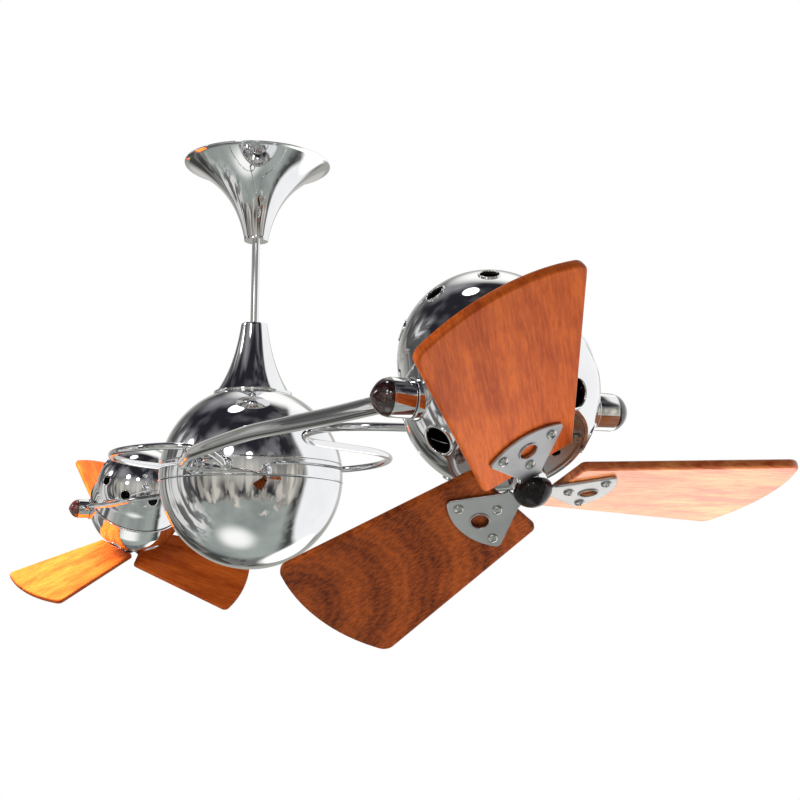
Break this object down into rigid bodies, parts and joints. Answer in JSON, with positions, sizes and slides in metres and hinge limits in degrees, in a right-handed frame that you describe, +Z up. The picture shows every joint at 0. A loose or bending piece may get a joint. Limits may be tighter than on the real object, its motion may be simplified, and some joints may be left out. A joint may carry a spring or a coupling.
{
  "type": "twin head ceiling fan",
  "caption": "Ceiling fan with a chrome canopy and rod, a turning sphere with bent arms, and a tilting motor head with wooden blades on each end.",
  "frame": {"origin": "middle of the ceiling bracket's two screw holes, on the ceiling plane", "axes": "+Z up out of the ceiling bracket into the ceiling, +X along the arms towards the front head, +Y to that head's side where the sweeping rod ends"},
  "size_m": [1.3935, 0.3296, 0.4719],
  "materials": {
    "chrome": "polished",
    "steel": "plain",
    "iron_steel": "satin plated",
    "copper": "plain",
    "insulator": "moulded",
    "blade_wood": "satin lacquer over red-brown veneer",
    "knob_wood": "gloss lacquer, dark",
    "nose_wood": "gloss lacquer, near black"
  },
  "bodies": {
    "ceiling_fixture": {"ceiling_bracket": "steel", "canopy": "chrome", "canopy_screws": "steel", "downrod": "chrome", "hanger_pin": "steel", "cone_cover": "chrome", "top_disc": "chrome", "upper_shell": "chrome", "spindle_collar": "steel", "spindle_nut": "steel", "slip_ring": "copper"},
    "turning_arms": {"arm_ring": "chrome", "arm_plate": "steel", "spindle_bearings": "steel", "brush_holder": "insulator", "lower_shell": "chrome", "shell_screws": "steel", "main_tube_front": "chrome", "main_tube_rear": "chrome", "sweep_rod_front": "chrome", "sweep_rod_rear": "chrome", "pivot_barrels_front": "chrome", "pivot_barrels_rear": "chrome", "knob_caps_front": "knob_wood", "knob_caps_rear": "knob_wood"},
    "head_front": {"rear_dome_front": "chrome", "front_shell_front": "chrome", "front_plate_front": "chrome", "plate_screws_front": "steel", "motor_can_front": "steel", "motor_bearings_front": "steel"},
    "blades_front": {"rotor_front": "steel", "blade_hub_front": "steel", "blade_1_front": "blade_wood", "blade_2_front": "blade_wood", "blade_3_front": "blade_wood", "iron_1_front": "iron_steel", "iron_2_front": "iron_steel", "iron_3_front": "iron_steel", "blade_screws_front": "steel", "nose_cap_front": "nose_wood"},
    "head_rear": {"rear_dome_rear": "chrome", "front_shell_rear": "chrome", "front_plate_rear": "chrome", "plate_screws_rear": "steel", "motor_can_rear": "steel", "motor_bearings_rear": "steel"},
    "blades_rear": {"rotor_rear": "steel", "blade_hub_rear": "steel", "blade_1_rear": "blade_wood", "blade_2_rear": "blade_wood", "blade_3_rear": "blade_wood", "iron_1_rear": "iron_steel", "iron_2_rear": "iron_steel", "iron_3_rear": "iron_steel", "blade_screws_rear": "steel", "nose_cap_rear": "nose_wood"}
  },
  "joints": [
    {"name": "arm_turn", "type": "hinge", "parent": "ceiling_fixture", "child": "turning_arms", "pos_m": [0, 0, -0.32], "axis": [0, 0, 1], "continuous": true},
    {"name": "head_tilt_front", "type": "hinge", "parent": "turning_arms", "child": "head_front", "pos_m": [0.53, 0, -0.32], "axis": [0, 1, 0], "range_deg": [-147.2, 32.8]},
    {"name": "blade_spin_front", "type": "hinge", "parent": "head_front", "child": "blades_front", "pos_m": [0.53, 0, -0.32], "axis": [0.5417, 0, -0.8406], "continuous": true},
    {"name": "head_tilt_rear", "type": "hinge", "parent": "turning_arms", "child": "head_rear", "pos_m": [-0.53, 0, -0.32], "axis": [0, -1, 0], "range_deg": [-135, 45]},
    {"name": "blade_spin_rear", "type": "hinge", "parent": "head_rear", "child": "blades_rear", "pos_m": [-0.53, 0, -0.32], "axis": [-0.7071, 0, -0.7071], "continuous": true}
  ]
}
